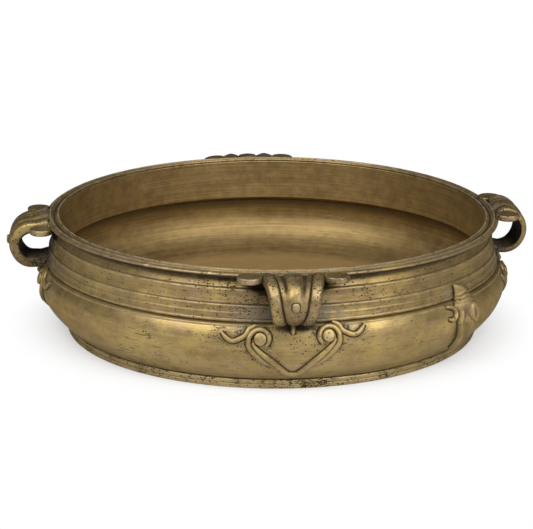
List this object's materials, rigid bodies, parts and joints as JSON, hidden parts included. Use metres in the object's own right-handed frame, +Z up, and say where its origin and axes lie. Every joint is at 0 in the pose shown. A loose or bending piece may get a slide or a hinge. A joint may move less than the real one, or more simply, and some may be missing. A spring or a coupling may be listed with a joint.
{
  "type": "urli vessel",
  "caption": "Wide, low brass vessel with a swelling belly, banded collar, stepped rim, loop strap handles and applied scrollwork, for floating flowers or cooking.",
  "frame": {"origin": "centre of the foot ring's underside, on the surface that the vessel stands on", "axes": "+Z up along the axis of the turned vessel, -Y out of the front handle, +X out of the right handle"},
  "size_m": [0.5174, 0.5137, 0.1198],
  "materials": {
    "belly_brass": "hand polished brass, satin, with fine lathe lines and dark pits",
    "band_brass": "turned brass bands, dulled to a grey brown patina",
    "rim_brass": "turned brass, ridges worn pale",
    "handle_brass": "cast brass, polished outside, blackened inside",
    "scroll_brass": "cast brass ornament, polished on its backs, dark in its edges"
  },
  "bodies": {
    "root": {"back_handle_drop": "scroll_brass", "back_handle_ear_left": "rim_brass", "back_handle_ear_right": "rim_brass", "back_handle_strap": "handle_brass", "back_handle_stud": "handle_brass", "back_handle_tongue": "handle_brass", "back_heart_scroll": "scroll_brass", "back_scroll_boss_left": "scroll_brass", "back_scroll_boss_right": "scroll_brass", "back_scroll_curl_left": "scroll_brass", "back_scroll_curl_right": "scroll_brass", "back_tendril_left": "scroll_brass", "back_tendril_right": "scroll_brass", "bowl": "belly_brass", "collar": "band_brass", "foot_ring": "band_brass", "front_handle_drop": "scroll_brass", "front_handle_ear_left": "rim_brass", "front_handle_ear_right": "rim_brass", "front_handle_strap": "handle_brass", "front_handle_stud": "handle_brass", "front_handle_tongue": "handle_brass", "front_heart_scroll": "scroll_brass", "front_scroll_boss_left": "scroll_brass", "front_scroll_boss_right": "scroll_brass", "front_scroll_curl_left": "scroll_brass", "front_scroll_curl_right": "scroll_brass", "front_tendril_left": "scroll_brass", "front_tendril_right": "scroll_brass", "leaf_boss": "scroll_brass", "leaf_curl_left": "scroll_brass", "leaf_curl_right": "scroll_brass", "left_handle_drop": "scroll_brass", "left_handle_ear_left": "rim_brass", "left_handle_ear_right": "rim_brass", "left_handle_strap": "handle_brass", "left_handle_stud": "handle_brass", "left_handle_tongue": "handle_brass", "left_heart_scroll": "scroll_brass", "left_scroll_boss_left": "scroll_brass", "left_scroll_boss_right": "scroll_brass", "left_scroll_curl_left": "scroll_brass", "left_scroll_curl_right": "scroll_brass", "left_tendril_left": "scroll_brass", "left_tendril_right": "scroll_brass", "right_handle_drop": "scroll_brass", "right_handle_ear_left": "rim_brass", "right_handle_ear_right": "rim_brass", "right_handle_strap": "handle_brass", "right_handle_stud": "handle_brass", "right_handle_tongue": "handle_brass", "right_heart_scroll": "scroll_brass", "right_scroll_boss_left": "scroll_brass", "right_scroll_boss_right": "scroll_brass", "right_scroll_curl_left": "scroll_brass", "right_scroll_curl_right": "scroll_brass", "right_tendril_left": "scroll_brass", "right_tendril_right": "scroll_brass", "rim_ring": "rim_brass"}
  },
  "joints": []
}
